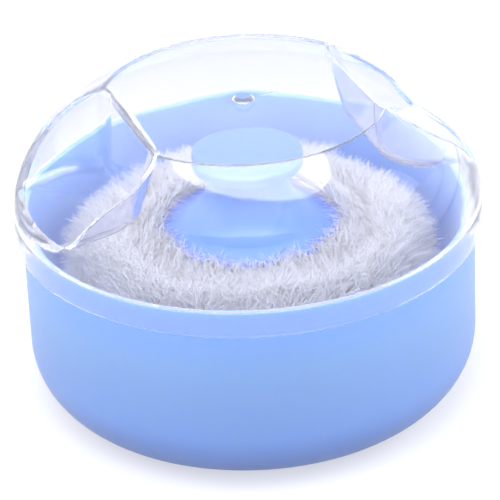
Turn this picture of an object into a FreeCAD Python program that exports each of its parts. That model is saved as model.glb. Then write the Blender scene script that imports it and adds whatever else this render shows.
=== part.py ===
import FreeCAD, Part
import math
import os
import Sketcher

# Powder puff box: a blue bowl, a clear lift-off lid with two finger notches,
# and a puff (handle, clamp disc, two plush panels, filling) lying on the powder.
# Millimetres. Origin at the centre of the foot, +Z up, finger notches on -X and +X.

# ---------------------------------------------------------------- driving sizes
SIZES = [
    ("bowl_radius", 45.0),         # outer wall of the bowl
    ("bowl_height", 41.0),         # table to rim
    ("bowl_wall", 1.5),
    ("bowl_floor", 1.8),
    ("bowl_corner", 12.5),         # outer rounding between wall and foot
    ("foot_recess", 0.8),
    ("foot_ring_width", 3.0),
    ("lid_wall", 1.2),
    ("lid_skirt_clearance", 0.3),  # bowl rim to lid skirt
    ("lid_seat_gap", 0.1),         # bowl rim to the step inside the lid
    ("lid_seat_width", 1.1),       # how far that step reaches over the rim
    ("lid_overlap", 5.0),          # how far the skirt reaches down over the bowl
    ("skirt_height", 3.8),         # straight part of the skirt above its lower edge
    ("side_radius", 21.0),         # rounding where the skirt turns in
    ("shoulder_radius", 46.5),     # flatter rounding up to the crown
    ("side_angle", 45.0),          # where one rounding takes over from the other
    ("shoulder_angle", 63.1),      # normal to the lid at the edge of its crown
    ("crown_dish", 0.6),           # the crown is this much lower at its centre
    ("nub_radius", 2.2),
    ("nub_height", 0.8),
    ("notch_bite", 5.107),         # how far a notch's upright wall stands inside the crown's edge
    ("notch_wall_lean", 2.6),      # the wall's foot is this much further out
    ("notch_floor_drop", 14.6),    # crown edge to the notch floor at the wall
    ("notch_floor_fall", 3.2),     # further drop of the floor towards the outside
    ("notch_half_width", 15.5),    # at the floor
    ("notch_flare", 20.0),         # degrees that the side walls lean outwards
    ("notch_corner", 8.5),         # plan rounding of the inner corners
    ("notch_floor_round", 3.5),    # rounding between the floor and the walls
    ("notch_edge", 1.8),           # rounding where a notch breaks the dome
    ("puff_shift_x", -0.7),        # the puff lies a little off centre
    ("puff_shift_y", -2.8),
    ("puff_radius", 36.5),
    ("puff_base", 10.6),           # lowest point of the puff
    ("puff_waist", 25.0),          # height of its seam
    ("puff_top", 36.6),            # upper face of the plush under the flange
    ("plush_thickness", 2.4),
    ("core_gap", 0.1),
    ("flange_radius", 20.0),
    ("flange_edge", 1.4),
    ("flange_rise", 2.2),          # flange thickness at the foot of the neck
    ("neck_radius", 8.0),
    ("neck_flare", 8.2),           # sweep from the neck into the flange
    ("knob_radius", 11.0),
    ("knob_edge", 2.2),
    ("knob_roof", 2.0),
    ("bore_radius", 4.4),
    ("disc_radius", 18.5),
    ("disc_thickness", 1.6),
    ("post_height", 9.0),
    ("post_clearance", 0.02),
    ("powder_angle", 13.4),        # sets how high the powder stands in the bowl's corner
    ("powder_dip", 1.2),
    ("powder_gap", 0.2),
]

doc = FreeCAD.newDocument("PowderPuffBox")
sheet = doc.addObject("Spreadsheet::Sheet", "Dims")
for row, (alias, number) in enumerate(SIZES, start=1):
    sheet.set("A%d" % row, alias)
    sheet.set("B%d" % row, str(number))
    sheet.setAlias("B%d" % row, alias)
doc.recompute()


class Size:
    """A number together with the expression that produces it from the sheet."""

    def __init__(self, value, text):
        self.value = value
        self.text = text

    def _join(self, other, sign, value):
        text = other.text if isinstance(other, Size) else repr(float(other))
        return Size(value, "(%s %s %s)" % (self.text, sign, text))

    def __add__(self, other):
        return self._join(other, "+", self.value + number_of(other))

    def __sub__(self, other):
        return self._join(other, "-", self.value - number_of(other))

    def __mul__(self, other):
        return self._join(other, "*", self.value * number_of(other))

    def __truediv__(self, other):
        return self._join(other, "/", self.value / number_of(other))

    def __neg__(self):
        return Size(-self.value, "(-1 * %s)" % self.text)

    def cos(self):
        return Size(math.cos(math.radians(self.value)), "cos(%s * 1 deg)" % self.text)

    def sin(self):
        return Size(math.sin(math.radians(self.value)), "sin(%s * 1 deg)" % self.text)

    def tan(self):
        return Size(math.tan(math.radians(self.value)), "tan(%s * 1 deg)" % self.text)


def number_of(other):
    return other.value if isinstance(other, Size) else float(other)


D = {alias: Size(number, "Dims." + alias) for alias, number in SIZES}
ZERO = Size(0.0, "0")


# ---------------------------------------------------------------- helpers
def origin_feature(body, role):
    for feature in body.Origin.OriginFeatures:
        if feature.Role == role:
            return feature
    raise ValueError(role)


def new_sketch(body, name, plane):
    sketch = body.newObject("Sketcher::SketchObject", name)
    sketch.AttachmentSupport = (origin_feature(body, plane), [""])
    sketch.MapMode = "FlatFace"
    return sketch


def pin(sketch, geometry, vertex, x, y, tag):
    """Hold one vertex at (x, y), both bound to the sheet."""
    for axis, size in (("X", x), ("Y", y)):
        if abs(size.value) < 1e-9:
            other = -2 if axis == "X" else -1
            sketch.addConstraint(Sketcher.Constraint("PointOnObject", geometry, vertex, other))
            continue
        index = sketch.addConstraint(
            Sketcher.Constraint("Distance" + axis, -1, 1, geometry, vertex, size.value))
        sketch.renameConstraint(index, tag + axis.lower())
        sketch.setExpression("Constraints." + tag + axis.lower(), size.text)


def arc_through(start, end, radius, left):
    """Arc of the given radius; left: the centre lies to the left of start -> end."""
    chord = end - start
    half = chord.Length / 2.0
    normal = FreeCAD.Vector(-chord.y, chord.x, 0) / chord.Length
    away = math.sqrt(max(radius * radius - half * half, 0.0))
    centre = (start + end) / 2.0 + normal * (away if left else -away)
    first = math.atan2(start.y - centre.y, start.x - centre.x)
    last = math.atan2(end.y - centre.y, end.x - centre.x)
    circle = Part.Circle(centre, FreeCAD.Vector(0, 0, 1), radius)
    if left:
        return Part.ArcOfCircle(circle, first, last if last > first else last + 2 * math.pi), 1, 2
    return Part.ArcOfCircle(circle, last, first if first > last else first + 2 * math.pi), 2, 1


def closed_profile(sketch, corners):
    """Closed outline. Each corner is (x, y) or (x, y, radius, left); the last two
    turn the edge that leaves the corner into an arc."""
    count = len(corners)
    edges = []
    for i, corner in enumerate(corners):
        after = corners[(i + 1) % count]
        start = FreeCAD.Vector(corner[0].value, corner[1].value, 0)
        end = FreeCAD.Vector(after[0].value, after[1].value, 0)
        if len(corner) == 2:
            edges.append((sketch.addGeometry(Part.LineSegment(start, end)), 1, 2))
            continue
        arc, first, last = arc_through(start, end, corner[2].value, corner[3])
        index = sketch.addGeometry(arc)
        radius = sketch.addConstraint(Sketcher.Constraint("Radius", index, corner[2].value))
        sketch.renameConstraint(radius, "arc%d" % i)
        sketch.setExpression("Constraints.arc%d" % i, corner[2].text)
        edges.append((index, first, last))
    for i, corner in enumerate(corners):
        edge = edges[i]
        before = edges[i - 1]
        sketch.addConstraint(Sketcher.Constraint("Coincident", before[0], before[2], edge[0], edge[1]))
        pin(sketch, edge[0], edge[1], corner[0], corner[1], "c%d" % i)


def turned_body(label, corners, shift=None):
    """A body turned about Z from a closed outline in the XZ plane."""
    body = doc.addObject("PartDesign::Body", label)
    body.Label = label
    sketch = new_sketch(body, label + "_outline", "XZ_Plane")
    closed_profile(sketch, corners)
    turn = body.newObject("PartDesign::Revolution", label + "_turn")
    turn.Profile = sketch
    turn.ReferenceAxis = (sketch, ["V_Axis"])
    turn.Angle = 360.0
    body.Tip = turn
    if shift:
        body.setExpression("Placement.Base.x", shift[0].text)
        body.setExpression("Placement.Base.y", shift[1].text)
    return body


def cut(label, base, tool):
    result = doc.addObject("Part::Cut", label)
    result.Label = label
    result.Base = base
    result.Tool = tool
    return result


PUFF_SHIFT = (D["puff_shift_x"], D["puff_shift_y"])

# ---------------------------------------------------------------- bowl
inner_corner = D["bowl_corner"] - D["bowl_wall"]
foot_radius = D["bowl_radius"] - D["bowl_corner"]
bowl_inner = D["bowl_radius"] - D["bowl_wall"]
turned_body("base_bowl", [
    (ZERO, D["foot_recess"]),
    (foot_radius - D["foot_ring_width"], D["foot_recess"]),
    (foot_radius - D["foot_ring_width"], ZERO),
    (foot_radius, ZERO, D["bowl_corner"], True),
    (D["bowl_radius"], D["bowl_corner"]),
    (D["bowl_radius"], D["bowl_height"] - 0.4),
    (D["bowl_radius"] - 0.4, D["bowl_height"]),
    (bowl_inner + 0.4, D["bowl_height"]),
    (bowl_inner, D["bowl_height"] - 0.4),
    (bowl_inner, D["bowl_floor"] + inner_corner, inner_corner, False),
    (bowl_inner - inner_corner, D["bowl_floor"]),
    (ZERO, D["bowl_floor"]),
])

# ---------------------------------------------------------------- powder
corner_x = bowl_inner - inner_corner
corner_z = D["bowl_floor"] + inner_corner
powder_corner = inner_corner - D["powder_gap"]
powder_top = corner_z - powder_corner * D["powder_angle"].sin()
turned_body("talc_fill", [
    (ZERO, D["bowl_floor"]),
    (corner_x - 1.0, D["bowl_floor"]),
    (corner_x, D["bowl_floor"] + D["powder_gap"], powder_corner, True),
    (corner_x + powder_corner * D["powder_angle"].cos(), powder_top),
    (ZERO, powder_top - D["powder_dip"]),
])

# ---------------------------------------------------------------- plush panels and filling
def bulge(width, rise):
    """Radius of the arc that starts upright and covers this width and rise."""
    return (width * width + rise * rise) / (width * 2.0)


flat = D["flange_radius"]
side_width = D["puff_radius"] - flat
upper_arc = bulge(side_width, D["puff_top"] - D["puff_waist"])
lower_arc = bulge(side_width, D["puff_waist"] - D["puff_base"])
lining = D["plush_thickness"]
plush_hole = D["bore_radius"] + 0.6
turned_body("plush_top", [
    (plush_hole, D["puff_top"] - lining),
    (flat, D["puff_top"] - lining, upper_arc - lining, False),
    (D["puff_radius"] - lining, D["puff_waist"]),
    (D["puff_radius"], D["puff_waist"], upper_arc, True),
    (flat, D["puff_top"]),
    (plush_hole, D["puff_top"]),
], PUFF_SHIFT)
turned_body("plush_bottom", [
    (ZERO, D["puff_base"]),
    (flat, D["puff_base"], lower_arc, True),
    (D["puff_radius"], D["puff_waist"]),
    (D["puff_radius"] - lining, D["puff_waist"], lower_arc - lining, False),
    (flat, D["puff_base"] + lining),
    (ZERO, D["puff_base"] + lining),
], PUFF_SHIFT)

disc_top = D["puff_top"] - lining
disc_bottom = disc_top - D["disc_thickness"]
skin = lining + D["core_gap"]
core_side = D["puff_radius"] - skin
turned_body("puff_core", [
    (ZERO, D["puff_base"] + skin),
    (flat, D["puff_base"] + skin, lower_arc - skin, True),
    (core_side, D["puff_waist"], upper_arc - skin, True),
    (flat, D["puff_top"] - skin),
    (D["disc_radius"] + D["core_gap"], D["puff_top"] - skin),
    (D["disc_radius"] + D["core_gap"], disc_bottom),
    (ZERO, disc_bottom),
], PUFF_SHIFT)

# ---------------------------------------------------------------- clamp disc and handle
post_radius = D["bore_radius"] - D["post_clearance"]
turned_body("clamp_disc", [
    (ZERO, disc_bottom),
    (D["disc_radius"], disc_bottom),
    (D["disc_radius"], disc_top),
    (post_radius, disc_top),
    (post_radius, disc_top + D["post_height"] - 0.5),
    (post_radius - 0.5, disc_top + D["post_height"]),
    (ZERO, disc_top + D["post_height"]),
], PUFF_SHIFT)

neck_foot = D["puff_top"] + D["flange_rise"]
neck_z = neck_foot + D["neck_flare"]
knob_flare = D["knob_radius"] - D["neck_radius"]
knob_under = neck_z + knob_flare
knob_top = knob_under + D["knob_edge"]
turned_body("puff_handle", [
    (D["bore_radius"], D["puff_top"]),
    (D["flange_radius"] - 0.4, D["puff_top"]),
    (D["flange_radius"], D["puff_top"] + 0.4),
    (D["flange_radius"], D["puff_top"] + D["flange_edge"] - 0.5, Size(0.5, "0.5"), True),
    (D["flange_radius"] - 0.5, D["puff_top"] + D["flange_edge"]),
    (D["neck_radius"] + D["neck_flare"], neck_foot, D["neck_flare"], False),
    (D["neck_radius"], neck_z, knob_flare, False),
    (D["knob_radius"], knob_under),
    (D["knob_radius"], knob_top - 0.8, Size(0.8, "0.8"), True),
    (D["knob_radius"] - 0.8, knob_top),
    (ZERO, knob_top),
    (ZERO, knob_top - D["knob_roof"]),
    (D["bore_radius"], knob_top - D["knob_roof"]),
], PUFF_SHIFT)

# ---------------------------------------------------------------- lid
lid_radius = D["bowl_radius"] + D["lid_skirt_clearance"] + D["lid_wall"]
lid_low = D["bowl_height"] - D["lid_overlap"]
turn_z = lid_low + D["skirt_height"]
side = D["side_radius"]
shoulder = D["shoulder_radius"]
side_cos = D["side_angle"].cos()
side_sin = D["side_angle"].sin()
edge_cos = D["shoulder_angle"].cos()
edge_sin = D["shoulder_angle"].sin()
hip_x = lid_radius - side + side * side_cos
hip_z = turn_z + side * side_sin
crown_x = hip_x + shoulder * (edge_cos - side_cos)
crown_z = hip_z + shoulder * (edge_sin - side_sin)
dish_z = crown_z - D["crown_dish"]
dish_arc = (crown_x * crown_x + D["crown_dish"] * D["crown_dish"]) / (D["crown_dish"] * 2.0)
lid_wall = D["lid_wall"]
seat_z = D["bowl_height"] + D["lid_seat_gap"]

lid_outer = turned_body("lid_outer_form", [
    (ZERO, lid_low),
    (lid_radius - 0.3, lid_low),
    (lid_radius, lid_low + 0.3),
    (lid_radius, turn_z, side, True),
    (hip_x, hip_z, shoulder, True),
    (crown_x, crown_z, dish_arc, False),
    (D["nub_radius"], dish_z),
    (D["nub_radius"] - 0.7, dish_z + D["nub_height"]),
    (ZERO, dish_z + D["nub_height"]),
])
lid_cavity = turned_body("lid_cavity_form", [
    (ZERO, lid_low - 2.0),
    (lid_radius - lid_wall, lid_low - 2.0),
    (lid_radius - lid_wall, seat_z),
    (lid_radius - lid_wall - D["lid_seat_width"], seat_z, side, True),
    (hip_x - lid_wall * side_cos, hip_z - lid_wall * side_sin, shoulder - lid_wall, True),
    (crown_x - lid_wall * edge_cos, crown_z - lid_wall * edge_sin),
    (ZERO, dish_z - lid_wall),
])


def notch_outline(body, name, height, wall_x, half_width, corner, reach):
    """Plan of a notch at one height: square outside, rounded at the two inner corners."""
    sketch = new_sketch(body, name, "XY_Plane")
    sketch.setExpression("AttachmentOffset.Base.z", height.text)
    closed_profile(sketch, [
        (reach, -half_width),
        (reach, half_width),
        (wall_x + corner, half_width, corner, True),
        (wall_x, half_width - corner),
        (wall_x, -(half_width - corner), corner, True),
        (wall_x + corner, -half_width),
    ])
    return sketch


notch_wall_x = crown_x - D["notch_bite"]


def notch_tool(label, growth, turned):
    """The solid that is taken out for one notch; growth moves its inner faces inwards."""
    body = doc.addObject("PartDesign::Body", label)
    body.Label = label
    reach = lid_radius + 6.0
    above = Size(6.0, "6")
    below = D["notch_floor_fall"] + 4.0
    lean = D["notch_wall_lean"] / D["notch_floor_drop"]
    flare = D["notch_flare"].tan()
    low_z = crown_z - D["notch_floor_drop"] - below
    high_z = crown_z + above
    corner = D["notch_corner"] + growth
    base_x = notch_wall_x - growth
    base_width = D["notch_half_width"] + growth
    low = notch_outline(body, label + "_low", low_z, base_x + D["notch_wall_lean"] + lean * below,
                        base_width - flare * below, corner, reach)
    high = notch_outline(body, label + "_high", high_z, base_x - lean * above,
                         base_width + flare * (D["notch_floor_drop"] + above), corner, reach)
    loft = body.newObject("PartDesign::AdditiveLoft", label + "_loft")
    loft.Profile = low
    loft.Sections = [high]
    loft.Ruled = True
    body.Tip = loft
    floor_z = crown_z - D["notch_floor_drop"] - growth
    wedge = new_sketch(body, label + "_under", "XZ_Plane")
    inner_x = notch_wall_x - 8.0
    run = lid_radius - notch_wall_x - D["notch_wall_lean"]
    fall = D["notch_floor_fall"] / run
    wall_foot = notch_wall_x + D["notch_wall_lean"]
    closed_profile(wedge, [
        (inner_x, low_z - 2.0),
        (reach + 2.0, low_z - 2.0),
        (reach + 2.0, floor_z - fall * (reach + 2.0 - wall_foot)),
        (inner_x, floor_z + fall * (wall_foot - inner_x)),
    ])
    trim = body.newObject("PartDesign::Pocket", label + "_trim")
    trim.Profile = wedge
    trim.Midplane = True
    trim.Length = 120.0
    body.Tip = trim
    doc.recompute()
    chosen = []
    for index, edge in enumerate(trim.Shape.Edges, start=1):
        ends = [edge.valueAt(edge.FirstParameter), edge.valueAt(edge.LastParameter)]
        level = [abs(p.z - floor_z.value - fall.value * (wall_foot.value - p.x)) < 1e-3 for p in ends]
        outside = [p.x > reach.value - 1e-3 for p in ends]
        if all(level) and not all(outside):
            chosen.append("Edge%d" % index)
    rounding = body.newObject("PartDesign::Fillet", label + "_rounding")
    rounding.Base = (trim, chosen)
    rounding.setExpression("Radius", (D["notch_floor_round"] + growth).text)
    body.Tip = rounding
    if turned:
        body.Placement = FreeCAD.Placement(
            FreeCAD.Vector(0, 0, 0), FreeCAD.Rotation(FreeCAD.Vector(0, 0, 1), 180))
    return body


def fused(label, first, second):
    result = doc.addObject("Part::Fuse", label)
    result.Label = label
    result.Base = first
    result.Tool = second
    return result


outer_notches = fused("outer_notches", notch_tool("notch_right", ZERO, False),
                      notch_tool("notch_left", ZERO, True))
inner_notches = fused("inner_notches", notch_tool("hump_right", lid_wall, False),
                      notch_tool("hump_left", lid_wall, True))
lid_block = cut("lid_block", lid_outer, outer_notches)
lid_hollow = cut("lid_hollow", lid_cavity, inner_notches)
doc.recompute()


def break_edges(shape, tool_shape, body_shape):
    """Edges where the notch faces meet the outer dome."""
    found = []
    for index, edge in enumerate(shape.Edges, start=1):
        middle = edge.valueAt((edge.FirstParameter + edge.LastParameter) / 2.0)
        probe = Part.Vertex(middle)
        on_tool = min(face.distToShape(probe)[0] for face in tool_shape.Faces) < 1e-4
        on_body = min(face.distToShape(probe)[0] for face in body_shape.Faces) < 1e-4
        if on_tool and on_body:
            found.append(index)
    return found


softened = doc.addObject("Part::Fillet", "lid_block_softened")
softened.Base = lid_block
edge_radius = D["notch_edge"].value
softened.Edges = [(index, edge_radius, edge_radius)
                  for index in break_edges(lid_block.Shape, outer_notches.Shape, lid_outer.Shape)]
lid = cut("lid", softened, lid_hollow)

# ---------------------------------------------------------------- check and write
NODES = ["base_bowl", "talc_fill", "plush_top", "plush_bottom", "puff_core",
         "clamp_disc", "puff_handle", "lid"]
doc.recompute()
for item in doc.Objects:
    if "Invalid" in item.State or "Error" in item.State:
        raise RuntimeError("%s: %s" % (item.Name, item.State))

os.makedirs("parts", exist_ok=True)
for name in NODES:
    item = doc.getObjectsByLabel(name)[0]
    shape = item.Shape
    if shape.isNull() or not shape.isValid():
        raise RuntimeError(name + " has no valid shape")
    if len(shape.Solids) != 1:
        raise RuntimeError("%s has %d solids" % (name, len(shape.Solids)))
    box = shape.BoundBox
    print("%-13s %9.1f mm3  x %6.2f..%6.2f  y %6.2f..%6.2f  z %6.2f..%6.2f"
          % (name, shape.Volume, box.XMin, box.XMax, box.YMin, box.YMax, box.ZMin, box.ZMax))
    shape.exportStep("parts/%s.step" % name)
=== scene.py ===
"""Looks of a powder puff box: a satin blue bowl, a clear lid with finger notches and a plush puff.

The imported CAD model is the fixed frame. This script dresses its nodes, grows the puff's pile and
lights the box. Metres, origin at the centre of the foot, +Z up, finger notches on -X and +X.
"""

import logging
import math
from dataclasses import dataclass, field
from enum import Enum
from typing import Any

import bpy
import numpy as np
from mathutils import Matrix, Vector, noise


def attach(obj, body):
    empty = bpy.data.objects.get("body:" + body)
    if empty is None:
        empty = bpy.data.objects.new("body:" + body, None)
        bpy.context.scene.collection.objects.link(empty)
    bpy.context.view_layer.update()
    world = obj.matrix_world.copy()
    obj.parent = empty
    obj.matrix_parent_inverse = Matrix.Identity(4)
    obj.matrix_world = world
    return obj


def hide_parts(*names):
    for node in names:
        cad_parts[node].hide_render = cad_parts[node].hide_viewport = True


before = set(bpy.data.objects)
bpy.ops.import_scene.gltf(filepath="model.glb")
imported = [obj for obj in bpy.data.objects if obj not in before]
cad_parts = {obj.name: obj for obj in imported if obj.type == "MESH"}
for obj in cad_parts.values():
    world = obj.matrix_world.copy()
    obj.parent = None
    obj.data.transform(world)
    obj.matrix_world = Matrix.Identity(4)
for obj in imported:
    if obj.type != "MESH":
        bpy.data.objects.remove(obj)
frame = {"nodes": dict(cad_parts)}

bpy.context.view_layer.update()

LOG = logging.getLogger("powder_box")
MM = 0.001
UP = Vector((0.0, 0.0, 1.0))
Colour = tuple[float, float, float]


# ---------------------------------------------------------------- shader helpers
class Signal:
    """One output socket of a shader tree, with arithmetic that adds its nodes."""

    def __init__(self, shader: "Shader", socket: bpy.types.NodeSocket) -> None:
        """Keeps the socket together with the tree that it belongs to."""
        self.shader = shader
        self.socket = socket

    def _math(self, operation: str, *values: Any) -> "Signal":
        """Adds one Math node.

        Args:
            operation: The Math node's operation.
            *values: Numbers or signals for its sockets, in order.

        Returns:
            The node's result.
        """
        inputs = dict(enumerate(values))
        return self.shader.node("ShaderNodeMath", {"operation": operation}, inputs)

    def __add__(self, other: Any) -> "Signal":
        """Sum."""
        return self._math("ADD", self, other)

    __radd__ = __add__

    def __mul__(self, other: Any) -> "Signal":
        """Product."""
        return self._math("MULTIPLY", self, other)

    __rmul__ = __mul__

    def __sub__(self, other: Any) -> "Signal":
        """Difference."""
        return self._math("SUBTRACT", self, other)

    def __rsub__(self, other: Any) -> "Signal":
        """Difference from a plain number."""
        return self._math("SUBTRACT", other, self)

    def clamped(self) -> "Signal":
        """The value held between 0 and 1."""
        return self._math("MINIMUM", self._math("MAXIMUM", self, 0.0), 1.0)


class Shader:
    """A material whose tree is built by calls."""

    def __init__(self, name: str) -> None:
        """Starts an empty material tree under this name."""
        self.material = bpy.data.materials.new(name)
        self.material.use_nodes = True
        self.tree = self.material.node_tree
        self.tree.nodes.clear()

    def node(
        self,
        kind: str,
        settings: dict[str, Any] | None = None,
        inputs: dict[Any, Any] | None = None,
        output: Any = 0,
    ) -> Signal:
        """Adds one node.

        Args:
            kind: The node's Blender type.
            settings: Properties that are set before any socket. A key "stops" holds ramp stops.
            inputs: Values or signals by socket name or number.
            output: Name or number of the output that is returned.

        Returns:
            The chosen output as a signal.
        """
        made = self.tree.nodes.new(kind)
        for key, value in (settings or {}).items():
            if key == "stops":
                self.set_stops(made, value)
            else:
                setattr(made, key, value)
        for key, value in (inputs or {}).items():
            socket = made.inputs[key]
            if isinstance(value, Signal):
                self.tree.links.new(value.socket, socket)
            else:
                socket.default_value = value
        return Signal(self, made.outputs[output])

    @staticmethod
    def set_stops(ramp: bpy.types.Node, stops: list[tuple[float, Colour]]) -> None:
        """Replaces a colour ramp's stops.

        Args:
            ramp: The Color Ramp node.
            stops: Positions with their colours, in order.
        """
        elements = ramp.color_ramp.elements
        while len(elements) > 1:
            elements.remove(elements[-1])
        elements[0].position = stops[0][0]
        elements[0].color = (*stops[0][1], 1.0)
        for position, colour in stops[1:]:
            elements.new(position).color = (*colour, 1.0)

    def place(self) -> Signal:
        """Object coordinates."""
        return self.node("ShaderNodeTexCoord", output="Object")

    def grain(self, scale: float, detail: float = 3.0, rough: float = 0.5) -> Signal:
        """Soft noise on object coordinates.

        Args:
            scale: Lumps per metre.
            detail: Octaves.
            rough: How strong the finer octaves are.

        Returns:
            A value around 0.5.
        """
        inputs = {"Vector": self.place(), "Scale": scale, "Detail": detail, "Roughness": rough}
        return self.node("ShaderNodeTexNoise", None, inputs, "Fac")

    def tint(self, factor: Signal, low: "Colour | Signal", high: "Colour | Signal") -> Signal:
        """Blend of two colours.

        Args:
            factor: 0 gives low and 1 gives high.
            low: First colour.
            high: Second colour.

        Returns:
            The blended colour.
        """
        ends = [end if isinstance(end, Signal) else (*end, 1.0) for end in (low, high)]
        inputs = {"Factor": factor, 6: ends[0], 7: ends[1]}
        return self.node("ShaderNodeMix", {"data_type": "RGBA"}, inputs, 2)

    def bump(self, height: Signal, distance: float, strength: float = 1.0) -> Signal:
        """A normal from a height.

        Args:
            height: Height field.
            distance: Metres that one unit of height stands for.
            strength: Share of the effect.

        Returns:
            The bent normal.
        """
        inputs = {"Height": height, "Distance": distance, "Strength": strength}
        return self.node("ShaderNodeBump", None, inputs, "Normal")

    def finish(self, **inputs: Any) -> bpy.types.Material:
        """Closes the tree with a Principled shader.

        Args:
            **inputs: Principled socket names with _ for spaces, and their values or signals.

        Returns:
            The finished material.
        """
        sockets = {name.replace("_", " "): value for name, value in inputs.items()}
        surface = self.node("ShaderNodeBsdfPrincipled", None, sockets, "BSDF")
        self.node_output(surface)
        return self.material

    def node_output(self, surface: Signal) -> None:
        """Joins a surface to the material's output."""
        made = self.tree.nodes.new("ShaderNodeOutputMaterial")
        self.tree.links.new(surface.socket, made.inputs["Surface"])


# ---------------------------------------------------------------- finishes
@dataclass(frozen=True)
class SatinPlastic:
    """Slightly translucent moulded plastic with a satin skin, its colour painted darker towards
    the foot as painted shade.
    """

    name: str
    base: Colour = (0.262, 0.435, 0.985)
    pale: Colour = (0.282, 0.46, 0.99)
    # Painted shade: deep is the colour painted on the foot, fading into the body colour higher up.
    deep: Colour = (0.195, 0.325, 0.90)
    painted_shade_below: float = 0.002
    painted_shade_fade: float = 0.026
    roughness: float = 0.4
    mottle: float = 0.08
    depth: float = 0.9
    reach: float = 0.005
    bleed: Colour = (0.5, 0.7, 1.0)
    cloud_grain: float = 38.0
    flow_grain: float = 90.0
    skin_grain: float = 2400.0
    wave: float = 0.00012
    refraction: float = 1.49

    def build(self) -> bpy.types.Material:
        """Makes the material."""
        shader = Shader(self.name)
        cloud = shader.grain(self.cloud_grain, 2.0)
        skin = shader.grain(self.skin_grain, 2.0)
        flow = shader.grain(self.flow_grain, 2.0)
        height = shader.node("ShaderNodeSeparateXYZ", None, {"Vector": shader.place()}, "Z")
        # Painted shade: the colour darkens towards the foot, fully low down and fading out higher
        # up.
        rise = ((height - self.painted_shade_below) * (1.0 / self.painted_shade_fade)).clamped()
        body = shader.tint(cloud, self.base, self.pale)
        return shader.finish(
            Base_Color=shader.tint(rise, self.deep, body),
            Roughness=(skin * self.mottle + (self.roughness - self.mottle / 2)).clamped(),
            Normal=shader.bump(skin * 0.25 + flow, self.wave, 0.5),
            IOR=self.refraction,
            Subsurface_Weight=self.depth,
            Subsurface_Radius=self.bleed,
            Subsurface_Scale=self.reach,
        )


@dataclass(frozen=True)
class ClearPlastic:
    """Clear moulded plastic with a faint milky cast."""

    name: str
    tone: Colour = (0.88, 0.885, 0.97)
    haze: float = 0.042
    roughness: float = 0.03
    mottle: float = 0.02
    flow_grain: float = 70.0
    skin_grain: float = 900.0
    wave: float = 0.0002
    refraction: float = 1.37

    def build(self) -> bpy.types.Material:
        """Makes the material."""
        shader = Shader(self.name)
        flow = shader.grain(self.flow_grain, 1.0)
        skin = shader.grain(self.skin_grain, 2.0)
        return shader.finish(
            Base_Color=(*self.tone, 1.0),
            Roughness=(skin * self.mottle + self.roughness).clamped(),
            Normal=shader.bump(flow, self.wave, 0.35),
            IOR=self.refraction,
            Transmission_Weight=1.0 - self.haze,
        )


@dataclass(frozen=True)
class PlushPile:
    """Long soft pile: matt white, blended at random with a cooler white in locks."""

    name: str
    deep: Colour = (0.92, 0.92, 0.975)
    tip: Colour = (0.965, 0.96, 0.995)
    lock_grain: float = 520.0
    wave: float = 0.0004
    roughness: float = 0.82
    sheen: float = 0.3
    depth: float = 0.6
    reach: float = 0.003

    def build(self) -> bpy.types.Material:
        """Makes the material."""
        shader = Shader(self.name)
        lock = shader.grain(self.lock_grain, 3.0)
        return shader.finish(
            Base_Color=shader.tint(lock, self.deep, self.tip),
            Roughness=(lock * 0.1 + self.roughness).clamped(),
            Normal=shader.bump(lock, self.wave, 0.3),
            Sheen_Weight=self.sheen,
            Sheen_Roughness=0.5,
            Subsurface_Weight=self.depth,
            Subsurface_Radius=(1.0, 1.0, 1.0),
            Subsurface_Scale=self.reach,
        )


@dataclass(frozen=True)
class LoosePowder:
    """Fine white powder with a few pressed lumps."""

    name: str
    shade: Colour = (0.86, 0.85, 0.84)
    light: Colour = (0.95, 0.945, 0.935)
    dust_grain: float = 3000.0
    lump_grain: float = 260.0
    wave: float = 0.0008
    roughness: float = 0.88

    def build(self) -> bpy.types.Material:
        """Makes the material."""
        shader = Shader(self.name)
        dust = shader.grain(self.dust_grain, 4.0, 0.7)
        lumps = shader.grain(self.lump_grain, 3.0)
        return shader.finish(
            Base_Color=shader.tint((lumps * 0.7 + dust * 0.3).clamped(), self.shade, self.light),
            Roughness=(dust * 0.1 + self.roughness).clamped(),
            Normal=shader.bump(lumps + dust * 0.4, self.wave, 0.7),
        )


@dataclass(frozen=True)
class PlainMoulding:
    """Unpolished white moulding of the hidden disc."""

    name: str
    tone: Colour = (0.82, 0.83, 0.85)
    lift: float = 1.08
    skin_grain: float = 1500.0
    wave: float = 0.00006
    roughness: float = 0.45

    def build(self) -> bpy.types.Material:
        """Makes the material."""
        shader = Shader(self.name)
        skin = shader.grain(self.skin_grain, 3.0)
        pale = tuple(min(1.0, part * self.lift) for part in self.tone)
        return shader.finish(
            Base_Color=shader.tint(skin, self.tone, pale),
            Roughness=(skin * 0.15 + self.roughness).clamped(),
            Normal=shader.bump(skin, self.wave, 0.5),
        )


@dataclass(frozen=True)
class FloorPaint:
    """Pale seamless floor that glows a little, as a sweep lit from below does."""

    name: str = "studio_floor"
    tone: Colour = (0.45, 0.45, 0.45)
    glow: Colour = (0.97, 0.98, 1.0)
    glow_strength: float = 0.51

    def build(self) -> bpy.types.Material:
        """Makes the material."""
        return Shader(self.name).finish(
            Base_Color=(*self.tone, 1.0),
            Roughness=1.0,
            Specular_IOR_Level=0.0,
            Emission_Color=(*self.glow, 1.0),
            Emission_Strength=self.glow_strength,
        )


# ---------------------------------------------------------------- mesh helpers
def dress(piece: bpy.types.Object, finish: bpy.types.Material) -> None:
    """Gives a piece this one material."""
    piece.data.materials.clear()
    piece.data.materials.append(finish)


def new_piece(name: str, mesh: bpy.types.Mesh) -> bpy.types.Object:
    """Links a mesh to the scene under a name."""
    piece = bpy.data.objects.new(name, mesh)
    bpy.context.scene.collection.objects.link(piece)
    return piece


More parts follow.
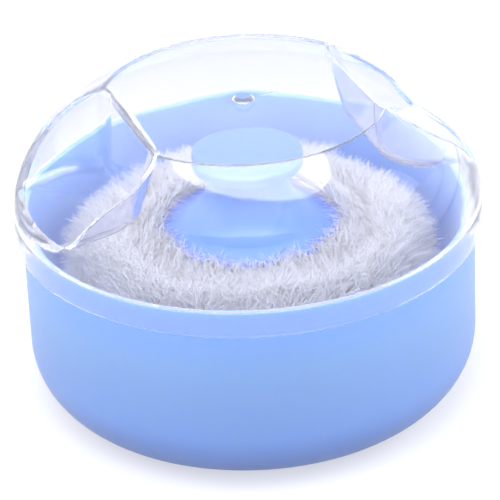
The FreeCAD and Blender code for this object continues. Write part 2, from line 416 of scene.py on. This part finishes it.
def baked(piece: bpy.types.Object, name: str) -> bpy.types.Mesh:
    """The piece's mesh with its modifiers applied.

    Args:
        piece: Source object.
        name: Name of the new mesh.

    Returns:
        A plain mesh.
    """
    graph = bpy.context.evaluated_depsgraph_get()
    graph.update()
    mesh = bpy.data.meshes.new_from_object(piece.evaluated_get(graph))
    mesh.name = name
    return mesh


def positions(mesh: bpy.types.Mesh) -> np.ndarray:
    """Vertex positions as an array of rows."""
    flat = np.empty(len(mesh.vertices) * 3, np.float32)
    mesh.vertices.foreach_get("co", flat)
    return flat.reshape(-1, 3).astype(float)


def set_positions(mesh: bpy.types.Mesh, points: np.ndarray) -> None:
    """Writes vertex positions back."""
    mesh.vertices.foreach_set("co", points.astype(np.float32).ravel())
    mesh.update()


# ---------------------------------------------------------------- the puff's pad
@dataclass
class PuffPad:
    """The stuffed plush body between the flange and the powder.

    Sizes are millimetres about the puff's own axis; heights are from the table.
    """

    centre: tuple[float, float] = (-0.7, -2.8)
    radius: float = 35.6
    flat: float = 19.5
    base: float = 11.4
    waist: float = 25.0
    top: float = 36.2
    held: float = 19.0
    squareness: float = 2.7
    arc_steps: int = 7
    around: int = 72
    sim_scale: float = 10.0
    sim_voxel: float = 0.024
    sim_frames: int = 20
    cloth_mass: float = 0.3
    cloth_pressure: float = 4.0
    cloth_stiffness: float = 12.0
    cloth_bending: float = 0.4
    held_depth: float = 3.0
    swell: float = 1.6
    seam_depth: float = 0.9
    seam_width: float = 1.1
    lump: float = 0.7
    lump_grain: float = 0.13
    lump_lift: float = 0.8
    lump_start: float = 6.0
    lump_seed: tuple[float, float, float] = (3.0, 7.0, 1.0)

    def outline(self) -> list[tuple[float, float]]:
        """Radius and height of the pad's section, from the lower centre to the upper one."""
        wide = self.radius - self.flat
        points = [(0.0, self.base), (self.flat * 0.5, self.base), (self.flat, self.base)]
        steps = self.arc_steps
        for step in range(1, steps):
            turn = math.pi / 2 * step / steps
            rise = (self.waist - self.base) * (1 - math.cos(turn))
            points.append((self.flat + wide * math.sin(turn), self.base + rise))
        power = 2 / self.squareness
        for step in range(steps + 1):
            turn = math.pi / 2 * step / steps
            out, rise = max(math.cos(turn), 0.0) ** power, math.sin(turn) ** power
            points.append((self.flat + wide * out, self.waist + (self.top - self.waist) * rise))
        points += [(self.flat * 0.5, self.top), (0.0, self.top)]
        return points

    def blank(self) -> bpy.types.Mesh:
        """The pad before stuffing, at the simulation's larger scale."""
        outline = self.outline()
        scale = MM * self.sim_scale
        verts = [(0.0, 0.0, outline[0][1] * scale)]
        for radius, height in outline[1:-1]:
            for step in range(self.around):
                turn = 2 * math.pi * step / self.around
                verts.append((radius * math.cos(turn) * scale, radius * math.sin(turn) * scale,
                              height * scale))
        verts.append((0.0, 0.0, outline[-1][1] * scale))
        faces: list[tuple[int, ...]] = []
        rings = len(outline) - 2
        for step in range(self.around):
            after = (step + 1) % self.around
            faces.append((0, 1 + after, 1 + step))
            for ring in range(rings - 1):
                low = 1 + ring * self.around
                high = low + self.around
                faces.append((low + step, low + after, high + after, high + step))
            last = 1 + (rings - 1) * self.around
            faces.append((last + step, last + after, len(verts) - 1))
        mesh = bpy.data.meshes.new("pad_blank")
        mesh.from_pydata(verts, [], faces)
        mesh.update()
        return mesh

    def stuffed(self) -> bpy.types.Mesh:
        """Stuffs the pad by a cloth simulation with pressure.

        Returns:
            The stuffed mesh at the simulation's scale.
        """
        piece = new_piece("pad_blank", self.blank())
        remesh = piece.modifiers.new("even", "REMESH")
        remesh.mode = "VOXEL"
        remesh.voxel_size = self.sim_voxel
        even = baked(piece, "pad_even")
        piece.modifiers.clear()
        piece.data = even
        before = positions(even)
        scale = MM * self.sim_scale
        group = piece.vertex_groups.new(name="held")
        reach = np.hypot(before[:, 0], before[:, 1])
        high = before[:, 2] > (self.top - self.held_depth) * scale
        under = (reach < self.held * scale) & high
        group.add([int(i) for i in np.flatnonzero(under)], 1.0, "REPLACE")
        self._simulate(piece)
        after = positions(baked(piece, "pad_sim"))
        move = after - before
        length = np.linalg.norm(move, axis=1)
        cap = self.swell * scale
        share = np.minimum(1.0, cap / np.maximum(length, 1e-9))
        set_positions(even, before + move * share[:, None])
        piece.modifiers.clear()
        finer = piece.modifiers.new("finer", "SUBSURF")
        finer.levels = 1
        finer.render_levels = 1
        result = baked(piece, "pad_stuffed")
        bpy.data.objects.remove(piece)
        return result

    def _simulate(self, piece: bpy.types.Object) -> None:
        """Runs the cloth simulation on the piece."""
        cloth = piece.modifiers.new("stuffing", "CLOTH")
        settings = cloth.settings
        settings.quality = 6
        settings.mass = self.cloth_mass
        settings.use_pressure = True
        settings.uniform_pressure_force = self.cloth_pressure
        settings.tension_stiffness = self.cloth_stiffness
        settings.compression_stiffness = self.cloth_stiffness
        settings.bending_stiffness = self.cloth_bending
        settings.vertex_group_mass = "held"
        settings.effector_weights.gravity = 0.0
        cloth.collision_settings.use_collision = False
        scene = bpy.context.scene
        for step in range(1, self.sim_frames + 1):
            scene.frame_set(step)

    def build(self, finish: bpy.types.Material) -> bpy.types.Object:
        """Makes the pad, seam and lumps included, in its place.

        Args:
            finish: The plush's ground material.

        Returns:
            The finished pad.
        """
        mesh = self.stuffed()
        points = positions(mesh) / (MM * self.sim_scale)
        reach = np.hypot(points[:, 0], points[:, 1])
        outward = points[:, :2] / np.maximum(reach, 1e-6)[:, None]
        near = np.exp(-(((points[:, 2] - self.waist) / self.seam_width) ** 2))
        near = near * (reach > self.flat)
        points[:, :2] -= outward * (near * self.seam_depth)[:, None]
        free = np.clip((reach - self.flat) / self.lump_start, 0.0, 1.0)
        for index in range(len(points)):
            if free[index] <= 0.0:
                continue
            x, y, z = points[index]
            lumps = noise.noise(Vector((x, y, z)) * self.lump_grain + Vector(self.lump_seed))
            push = self.lump * free[index] * lumps
            points[index, 0] += outward[index, 0] * push
            points[index, 1] += outward[index, 1] * push
            points[index, 2] += push * self.lump_lift
        points[:, 0] += self.centre[0]
        points[:, 1] += self.centre[1]
        set_positions(mesh, points * MM)
        mesh.shade_smooth()
        piece = new_piece("puff_plush", mesh)
        dress(piece, finish)
        return piece


# ---------------------------------------------------------------- the pile
class PileZone(Enum):
    """Parts of the pad that carry pile: name, lowest and highest height, radii from and to."""

    COLLAR = ("collar", 33.0, 60.0, 20.2, 26.0)
    CROWN = ("crown", 33.0, 60.0, 26.0, 60.0)
    BROW = ("brow", 29.0, 33.0, 0.0, 60.0)
    SHOULDER = ("shoulder", 24.0, 29.0, 0.0, 60.0)
    SIDE = ("side", 18.0, 24.0, 0.0, 60.0)
    BELOW = ("below", 0.0, 18.0, 0.0, 60.0)


@dataclass
class PileMaker:
    """Grows tufts on the pad with a geometry node tree."""

    pad: PuffPad
    wall: float = 43.1
    bed: float = 10.9
    flange_radius: float = 20.4
    flange_top: float = 38.15
    flange_slope: float = 0.24
    length: float = 5.0
    thickness: float = 0.13
    lean: float = 0.95
    trim: float = 0.36
    stray_low: tuple[float, float, float] = (-1.0, -1.0, -0.35)
    stray_high: tuple[float, float, float] = (1.0, 1.0, 0.8)
    drift: float = 2.4
    drift_grain: float = 130.0
    drift_middle: tuple[float, float, float] = (0.5, 0.5, 0.35)
    growth: tuple[float, float] = (0.6, 1.15)
    bend_at: float = 0.55
    bend_out: float = 0.42
    bend_rise: float = 0.88
    taper: float = 0.85
    flange_from: float = 0.03
    first_seed: int = 11
    seed_step: int = 17
    longer: dict[PileZone, float] = field(default_factory=lambda: {
        PileZone.COLLAR: 1.45, PileZone.BROW: 1.2, PileZone.SHOULDER: 1.2,
    })
    comb_in: dict[PileZone, float] = field(default_factory=lambda: {PileZone.COLLAR: 1.6})
    comb_along: dict[PileZone, tuple[float, float, float]] = field(default_factory=lambda: {
        PileZone.COLLAR: (-0.42, -1.15, 0.05),
        PileZone.BROW: (0.0, 0.0, 0.6),
        PileZone.SHOULDER: (0.0, 0.0, 0.8),
    })
    tufts: dict[PileZone, int] = field(default_factory=lambda: {
        PileZone.COLLAR: 9800,
        PileZone.CROWN: 9800,
        PileZone.BROW: 9800,
        PileZone.SHOULDER: 9800,
        PileZone.SIDE: 8500,
        PileZone.BELOW: 9800,
    })

    def tree(self) -> bpy.types.NodeTree:
        """Builds the node tree that sets tufts on a surface and keeps them off the hard parts."""
        tree = bpy.data.node_groups.new("pile", "GeometryNodeTree")
        face = tree.interface
        face.new_socket("Skin", in_out="INPUT", socket_type="NodeSocketGeometry")
        for name in ("Density", "Length", "Thickness", "Lean", "Comb in", "Trim", "Wall radius",
                     "Bed height", "Flange radius", "Flange top", "Flange slope"):
            face.new_socket(name, in_out="INPUT", socket_type="NodeSocketFloat")
        face.new_socket("Seed", in_out="INPUT", socket_type="NodeSocketInt")
        for name in ("Puff axis", "Comb along"):
            face.new_socket(name, in_out="INPUT", socket_type="NodeSocketVector")
        face.new_socket("Finish", in_out="INPUT", socket_type="NodeSocketMaterial")
        face.new_socket("Pile", in_out="OUTPUT", socket_type="NodeSocketGeometry")
        build = TreeBuilder(tree)
        given = build.add("NodeGroupInput")
        zone = build.add("GeometryNodeInputNamedAttribute", {"data_type": "FLOAT"},
                         {"Name": "pile_zone"})
        density = build.maths("MULTIPLY", given["Density"], zone["Attribute"])
        spread = build.add("GeometryNodeDistributePointsOnFaces", {"distribute_method": "RANDOM"},
                           {"Mesh": given["Skin"], "Density": density, "Seed": given["Seed"]})
        tuft = self._tuft(build, given)
        stray = build.add("FunctionNodeRandomValue", {"data_type": "FLOAT_VECTOR"},
                          {"Min": self.stray_low, "Max": self.stray_high,
                           "Seed": given["Seed"]})
        swirl = build.add("ShaderNodeTexNoise", {"noise_dimensions": "3D"},
                          {"Scale": self.drift_grain, "Detail": 1.0})
        drift = build.vector("SUBTRACT", swirl["Color"], self.drift_middle)
        drift = build.vector("SCALE", drift, scale=self.drift)
        wander = build.vector("ADD", build.vector("SCALE", stray["Value"], scale=given["Lean"]),
                              drift)
        root = build.add("GeometryNodeInputPosition")["Position"]
        home = build.vector("SUBTRACT", given["Puff axis"], root)
        level = build.vector("MULTIPLY", home, (1.0, 1.0, 0.0))
        home = build.vector("NORMALIZE", level)
        inward = build.vector("SCALE", home, scale=given["Comb in"])
        combed = build.vector("ADD", inward, given["Comb along"])
        heading = build.vector("ADD", build.vector("ADD", spread["Normal"], wander), combed)
        facing = build.vector("DOT_PRODUCT", home, given["Comb along"], output="Value")
        turn = build.add("FunctionNodeAlignRotationToVector", {"axis": "Z"}, {"Vector": heading})
        spin = build.add("FunctionNodeRandomValue", {"data_type": "FLOAT"},
                         {2: 0.0, 3: 2 * math.pi, "Seed": build.maths("ADD", given["Seed"], 5.0)})
        local = build.add("FunctionNodeAxisAngleToRotation", None,
                          {"Axis": (0.0, 0.0, 1.0), "Angle": spin[1]})
        posed = build.add("FunctionNodeRotateRotation", {"rotation_space": "LOCAL"},
                          {"Rotation": turn["Rotation"], "Rotate By": local["Rotation"]})
        grow = build.add("FunctionNodeRandomValue", {"data_type": "FLOAT"},
                         {2: self.growth[0], 3: self.growth[1],
                          "Seed": build.maths("ADD", given["Seed"], 9.0)})
        size = build.maths("MULTIPLY", grow[1], build.maths(
            "ADD", 1.0, build.maths("MULTIPLY", facing, given["Trim"])))
        set_out = build.add("GeometryNodeInstanceOnPoints", None,
                            {"Points": spread["Points"], "Instance": tuft,
                             "Rotation": posed["Rotation"], "Scale": size})
        real = build.add("GeometryNodeRealizeInstances", None, {"Geometry": set_out["Instances"]})
        kept = self._kept_off(build, given, real["Geometry"])
        smooth = build.add("GeometryNodeSetShadeSmooth", None, {"Geometry": kept})
        coated = build.add("GeometryNodeSetMaterial", None,
                           {"Geometry": smooth["Geometry"], "Material": given["Finish"]})
        build.add("NodeGroupOutput", None, {"Pile": coated["Geometry"]})
        return tree

    def _tuft(self, build: "TreeBuilder", given: dict) -> bpy.types.NodeSocket:
        """One curved tapering tuft along +Z.

        Args:
            build: The tree's builder.
            given: The group's inputs.

        Returns:
            The tuft's mesh socket.
        """
        length = given["Length"]
        middle = build.add("ShaderNodeCombineXYZ", None,
                           {"X": 0.0, "Z": build.maths("MULTIPLY", length, self.bend_at)})
        end = build.add("ShaderNodeCombineXYZ", None,
                        {"X": build.maths("MULTIPLY", length, self.bend_out),
                         "Z": build.maths("MULTIPLY", length, self.bend_rise)})
        line = build.add("GeometryNodeCurveQuadraticBezier", None,
                         {"Resolution": 2, "Start": (0.0, 0.0, 0.0), "Middle": middle["Vector"],
                          "End": end["Vector"]})
        along = build.add("GeometryNodeSplineParameter")
        thinner = build.maths("MULTIPLY", along["Factor"], self.taper)
        taper = build.maths("SUBTRACT", 1.0, thinner)
        ring = build.add("GeometryNodeCurvePrimitiveCircle", None,
                         {"Resolution": 3, "Radius": given["Thickness"]})
        mesh = build.add("GeometryNodeCurveToMesh", None,
                         {"Curve": line["Curve"], "Profile Curve": ring["Curve"],
                          "Scale": taper, "Fill Caps": True})
        return mesh["Mesh"]

    def _kept_off(self, build: "TreeBuilder", given: dict, pile: bpy.types.NodeSocket):
        """Holds the tufts inside the bowl's wall, above the powder and over the flange.

        Args:
            build: The tree's builder.
            given: The group's inputs.
            pile: The realised tufts.

        Returns:
            The corrected geometry socket.
        """
        place = build.add("GeometryNodeInputPosition")["Position"]
        parts = build.add("ShaderNodeSeparateXYZ", None, {"Vector": place})
        flat = build.add("ShaderNodeCombineXYZ", None, {"X": parts["X"], "Y": parts["Y"]})
        reach = build.vector("LENGTH", flat["Vector"], output="Value")
        safe = build.maths("MAXIMUM", reach, 0.001)
        share = build.maths("MINIMUM", build.maths("DIVIDE", given["Wall radius"], safe), 1.0)
        held = build.vector("SCALE", flat["Vector"], scale=share)
        axis = build.vector("SUBTRACT", held, given["Puff axis"])
        inner = build.vector("LENGTH", axis, output="Value")
        inside = build.maths("LESS_THAN", inner, given["Flange radius"])
        above = build.maths("GREATER_THAN", parts["Z"], self.flange_from)
        slope = build.maths("MULTIPLY", build.maths("SUBTRACT", given["Flange radius"], inner),
                            given["Flange slope"])
        lid_of_flange = build.maths("ADD", given["Flange top"], slope)
        floor = build.maths("MULTIPLY", build.maths("MULTIPLY", inside, above), lid_of_flange)
        height = build.maths("MAXIMUM", build.maths("MAXIMUM", parts["Z"], floor),
                             given["Bed height"])
        held_parts = build.add("ShaderNodeSeparateXYZ", None, {"Vector": held})
        final = build.add("ShaderNodeCombineXYZ", None,
                          {"X": held_parts["X"], "Y": held_parts["Y"], "Z": height})
        moved = build.add("GeometryNodeSetPosition", None,
                          {"Geometry": pile, "Position": final["Vector"]})
        return moved["Geometry"]

    def zone_mask(self, mesh: bpy.types.Mesh, zone: PileZone) -> float:
        """Marks a zone on the pad.

        Args:
            mesh: The mesh that gets the attribute pile_zone.
            zone: The part that is to carry pile.

        Returns:
            The zone's area in square metres.
        """
        _, low, high, inner, outer = zone.value
        points = positions(mesh) / MM
        centre = np.array(self.pad.centre)
        reach = np.hypot(*(points[:, :2] - centre).T)
        level = (points[:, 2] >= low) & (points[:, 2] < high)
        inside = level & (reach >= inner) & (reach < outer)
        mask = mesh.attributes.new("pile_zone", "FLOAT", "POINT")
        mask.data.foreach_set("value", inside.astype(np.float32))
        area = 0.0
        for face in mesh.polygons:
            area += face.area * float(np.mean(inside[list(face.vertices)]))
        return area

    def grow(self, skin: bpy.types.Object, finish: bpy.types.Material) -> list[bpy.types.Object]:
        """Grows every zone's pile.

        Args:
            skin: The finished pad.
            finish: The pile's material.

        Returns:
            One plain mesh object for each zone.
        """
        tree = self.tree()
        grown = []
        for number, zone in enumerate(PileZone):
            carrier = new_piece("pile_carrier", skin.data.copy())
            area = self.zone_mask(carrier.data, zone)
            modifier = carrier.modifiers.new("pile", "NODES")
            modifier.node_group = tree
            values = {
                "Density": self.tufts[zone] / max(area, 1e-9),
                "Length": self.length * self.longer.get(zone, 1.0) * MM,
                "Thickness": self.thickness * MM,
                "Lean": self.lean,
                "Comb in": self.comb_in.get(zone, 0.0),
                "Comb along": self.comb_along.get(zone, (0.0, 0.0, 0.0)),
                "Trim": self.trim,
                "Wall radius": self.wall * MM,
                "Bed height": self.bed * MM,
                "Flange radius": self.flange_radius * MM,
                "Flange top": self.flange_top * MM,
                "Flange slope": self.flange_slope,
                "Seed": self.first_seed + self.seed_step * number,
                "Puff axis": (self.pad.centre[0] * MM, self.pad.centre[1] * MM, 0.0),
                "Finish": finish,
            }
            for item in tree.interface.items_tree:
                if item.in_out == "INPUT" and item.name in values:
                    modifier[item.identifier] = values[item.name]
            name = "pile_" + zone.value[0]
            mesh = baked(carrier, name)
            bpy.data.objects.remove(carrier)
            grown.append(new_piece(name, mesh))
            LOG.info("%s: %d faces", name, len(mesh.polygons))
        return grown


class NodeOutputs(dict):
    """Outputs of one node by name and by number."""

    def __init__(self, node: bpy.types.Node) -> None:
        """Collects the node's outputs."""
        super().__init__({socket.name: socket for socket in node.outputs})
        self.update({number: socket for number, socket in enumerate(node.outputs)})


class TreeBuilder:
    """Adds nodes to a geometry node tree."""

    def __init__(self, tree: bpy.types.NodeTree) -> None:
        """Keeps the tree."""
        self.tree = tree

    def add(self, kind: str, settings: dict | None = None, inputs: dict | None = None
            ) -> NodeOutputs:
        """Adds one node.

        Args:
            kind: The node's Blender type.
            settings: Properties that are set first.
            inputs: Values or sockets by input name or number.

        Returns:
            The node's outputs.
        """
        node = self.tree.nodes.new(kind)
        for key, value in (settings or {}).items():
            setattr(node, key, value)
        for key, value in (inputs or {}).items():
            if isinstance(value, bpy.types.NodeSocket):
                self.tree.links.new(value, node.inputs[key])
            else:
                node.inputs[key].default_value = value
        return NodeOutputs(node)

    def maths(self, operation: str, first: Any, second: Any) -> bpy.types.NodeSocket:
        """One Math node on two values."""
        return self.add("ShaderNodeMath", {"operation": operation}, {0: first, 1: second})["Value"]

    def vector(self, operation: str, first: Any, second: Any = None, scale: Any = None,
               output: str = "Vector") -> bpy.types.NodeSocket:
        """One Vector Math node.

        Args:
            operation: The node's operation.
            first: First vector.
            second: Second vector, if the operation takes one.
            scale: Factor for SCALE.
            output: Name of the output that is returned.

        Returns:
            The chosen output.
        """
        inputs = {0: first}
        if second is not None:
            inputs[1] = second
        if scale is not None:
            inputs["Scale"] = scale
        return self.add("ShaderNodeVectorMath", {"operation": operation}, inputs)[output]


# ---------------------------------------------------------------- sub-assemblies
@dataclass
class Bowl:
    """The blue bowl and the powder in it."""

    plastic: SatinPlastic = SatinPlastic("bowl_satin")
    powder: LoosePowder = LoosePowder("loose_powder")

    def build(self) -> None:
        """Dresses the bowl and the powder."""
        nodes = frame["nodes"]
        dress(nodes["base_bowl"], self.plastic.build())
        dress(nodes["talc_fill"], self.powder.build())
        LOG.info("bowl and powder dressed")


@dataclass
class Lid:
    """The clear lid."""

    plastic: ClearPlastic = ClearPlastic("lid_clear_plastic")

    def build(self) -> None:
        """Dresses the lid and lets lamps through it."""
        lid = frame["nodes"]["lid"]
        dress(lid, self.plastic.build())
        lid.visible_shadow = False
        lid.visible_diffuse = False
        LOG.info("lid dressed")


@dataclass
class Puff:
    """Handle, disc, filling and plush."""

    pad: PuffPad = field(default_factory=PuffPad)
    handle: SatinPlastic = SatinPlastic(
        "handle_satin", base=(0.082, 0.24, 0.86), pale=(0.09, 0.25, 0.88), roughness=0.3,
        depth=0.15)
    disc: PlainMoulding = PlainMoulding("disc_moulding")
    ground: PlushPile = PlushPile("plush_ground", deep=(0.92, 0.92, 0.975))
    pile: PlushPile = PlushPile("plush_pile")
    filling: PlushPile = PlushPile("fibre_filling", deep=(0.86, 0.86, 0.87))
    fill: float = 0.75

    def build(self) -> None:
        """Builds the puff's soft pieces and dresses its hard ones."""
        nodes = frame["nodes"]
        dress(nodes["puff_handle"], self.handle.build())
        dress(nodes["clamp_disc"], self.disc.build())
        dress(nodes["puff_core"], self.filling.build())
        skin = self.pad.build(self.ground.build())
        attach(skin, "puff")
        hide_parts("plush_top", "plush_bottom")
        LOG.info("pad: %d faces", len(skin.data.polygons))
        for tufts in PileMaker(self.pad).grow(skin, self.pile.build()):
            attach(tufts, "puff")


# ---------------------------------------------------------------- studio
@dataclass(frozen=True)
class Softbox:
    """One soft oval lamp. A card is seen by glossy surfaces only, a lamp by all the others."""

    name: str
    place: tuple[float, float, float]
    size: tuple[float, float]
    watts: float
    card: bool = False


@dataclass
class Studio:
    """Floor, lamps and camera. Places are metres in the camera's own heading."""

    heading: float = -19.5
    elevation: float = 28.75
    distance: float = 0.6
    roll: float = -2.59
    lens: float = 216.84
    aim_height: float = 0.036
    aim_drop: float = 0.00626
    floor_half: float = 3.0
    sky: Colour = (0.96, 0.975, 1.0)
    light_paths: int = 40
    sky_strength: float = 2.5
    sky_heights: tuple[float, ...] = (0.03, 0.14, 0.34, 0.52, 1.0)
    sky_shares: tuple[float, ...] = (0.76, 0.93, 0.76, 0.40, 0.36)
    ground: Colour = (0.05, 0.055, 0.085)
    lit_height: float = 0.03
    lamps: tuple[Softbox, ...] = (
        Softbox("softbox_card", (0.03, 0.07, 0.68), (0.62, 0.44), 5.4, card=True),
        Softbox("softbox_above", (-0.1, -0.2, 0.68), (0.5, 0.5), 1.7),
        Softbox("front_fill", (0.1, -0.9, 0.62), (0.9, 0.9), 2.2),
        Softbox("right_fill", (0.72, 0.05, 0.5), (0.5, 0.5), 2.3),
        Softbox("left_fill", (-0.72, 0.05, 0.52), (0.5, 0.5), 1.4),
    )

    def turned(self, place: tuple[float, float, float]) -> Vector:
        """A place given in the camera's heading, turned into the frame."""
        return Matrix.Rotation(math.radians(self.heading), 3, "Z") @ Vector(place)

    def floor(self) -> None:
        """Lays the floor."""
        half = self.floor_half
        mesh = bpy.data.meshes.new("studio_floor")
        corners = [(-half, -half, 0.0), (half, -half, 0.0), (half, half, 0.0), (-half, half, 0.0)]
        mesh.from_pydata(corners, [], [(0, 1, 2, 3)])
        piece = new_piece("studio_floor", mesh)
        dress(piece, FloorPaint().build())
        piece.visible_diffuse = False

    def lamp(self, softbox: Softbox) -> None:
        """Adds one lamp, aimed at the box.

        Args:
            softbox: The lamp, with its place in the camera's heading.
        """
        data = bpy.data.lights.new(softbox.name, "AREA")
        data.shape = "ELLIPSE"
        data.size, data.size_y = softbox.size
        data.energy = softbox.watts
        lamp = bpy.data.objects.new(softbox.name, data)
        bpy.context.scene.collection.objects.link(lamp)
        lamp.location = self.turned(softbox.place)
        towards = UP * self.lit_height - lamp.location
        lamp.rotation_euler = towards.to_track_quat("-Z", "Y").to_euler()
        lamp.visible_glossy = softbox.card
        lamp.visible_diffuse = not softbox.card

    def camera(self) -> None:
        """Places the camera."""
        rise = math.radians(self.elevation)
        back = self.turned((0.0, -math.cos(rise), math.sin(rise)))
        right = self.turned((1.0, 0.0, 0.0))
        up = back.cross(right)
        target = UP * self.aim_height
        place = target + back * self.distance
        aim = target - up * self.aim_drop
        view = (place - aim).normalized()
        side = up.cross(view).normalized()
        basis = Matrix((side, view.cross(side), view)).transposed()
        basis = basis @ Matrix.Rotation(math.radians(self.roll), 3, "Z")
        data = bpy.data.cameras.new("camera")
        data.lens = self.lens
        data.sensor_width = 36.0
        data.clip_start, data.clip_end = 0.01, 20.0
        camera = bpy.data.objects.new("camera", data)
        bpy.context.scene.collection.objects.link(camera)
        camera.matrix_world = Matrix.Translation(place) @ basis.to_4x4()
        bpy.context.scene.camera = camera

    def air(self) -> None:
        """Sets the soft light from all round."""
        world = bpy.data.worlds.new("studio_air")
        bpy.context.scene.world = world
        world.use_nodes = True
        nodes, links = world.node_tree.nodes, world.node_tree.links
        background = nodes["Background"]
        background.inputs["Strength"].default_value = self.sky_strength
        height = nodes.new("ShaderNodeSeparateXYZ")
        links.new(nodes.new("ShaderNodeTexCoord").outputs["Generated"], height.inputs["Vector"])
        ramp = nodes.new("ShaderNodeValToRGB")
        bands = [tuple(part * share for part in self.sky) for share in self.sky_shares]
        Shader.set_stops(ramp, [(0.0, self.ground), *zip(self.sky_heights, bands)])
        links.new(height.outputs["Z"], ramp.inputs["Fac"])
        links.new(ramp.outputs["Color"], background.inputs["Color"])

    def build(self) -> None:
        """Builds the whole studio."""
        self.floor()
        self.air()
        for softbox in self.lamps:
            self.lamp(softbox)
        self.camera()
        scene = bpy.context.scene
        scene.view_settings.view_transform = "Standard"
        for paths in ("max_bounces", "transmission_bounces", "glossy_bounces"):
            setattr(scene.cycles, paths, self.light_paths)
        LOG.info("studio ready")


def write_sizes() -> None:
    """Updates the view layer."""
    bpy.context.view_layer.update()


def main() -> None:
    """Builds the box and its studio."""
    logging.basicConfig(level=logging.INFO, format="%(name)s: %(message)s")
    for assembly in (Bowl(), Lid(), Puff(), Studio()):
        assembly.build()
    write_sizes()


if __name__ == "__main__":
    main()
